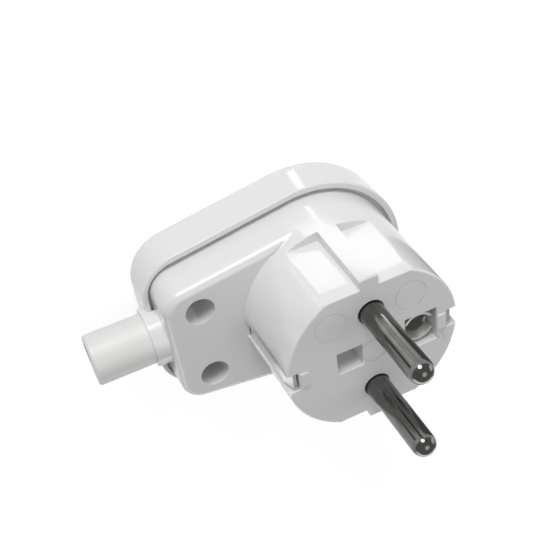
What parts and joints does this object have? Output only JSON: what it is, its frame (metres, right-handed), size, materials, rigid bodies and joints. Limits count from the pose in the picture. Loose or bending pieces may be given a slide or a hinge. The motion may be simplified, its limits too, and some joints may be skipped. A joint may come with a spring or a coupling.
{
  "type": "type f plug",
  "caption": "Right-angle rewirable mains plug: round pins, side earth clips, a socket for an earth pin, a flat tapered arm, a back cover held by screws and a soft cable sleeve.",
  "frame": {"origin": "on the back face of the cover, on the axis of the round head", "axes": "+Z along the pins and out of the face that meets the socket-outlet; the pins stand in line along Y; the arm and the cable sleeve reach towards -X"},
  "size_m": [0.0683, 0.0414, 0.055],
  "materials": {
    "housing": "white moulded plastic, satin",
    "sleeve": "soft white plastic, matt",
    "pin_metal": "bright nickel plate",
    "plated_metal": "plated strip, slightly dull",
    "screw_steel": "zinc plate",
    "inner_plastic": "white moulded plastic, matt"
  },
  "bodies": {
    "root": {"front_housing": "housing", "back_cover": "housing", "cable_sleeve": "sleeve", "live_pin": "pin_metal", "neutral_pin": "pin_metal", "live_terminal_screw": "screw_steel", "neutral_terminal_screw": "screw_steel", "live_clamp_washer": "plated_metal", "neutral_clamp_washer": "plated_metal", "pin_bridge": "inner_plastic", "bridge_screw": "screw_steel", "earth_bracket": "plated_metal", "earth_contact": "plated_metal", "earth_rivet": "plated_metal", "earth_terminal_screw": "screw_steel", "earth_clamp_washer": "plated_metal", "cable_clamp_bar": "inner_plastic", "clamp_screw_upper": "screw_steel", "clamp_screw_lower": "screw_steel", "cover_screw_upper": "screw_steel", "cover_screw_lower": "screw_steel"}
  },
  "joints": []
}
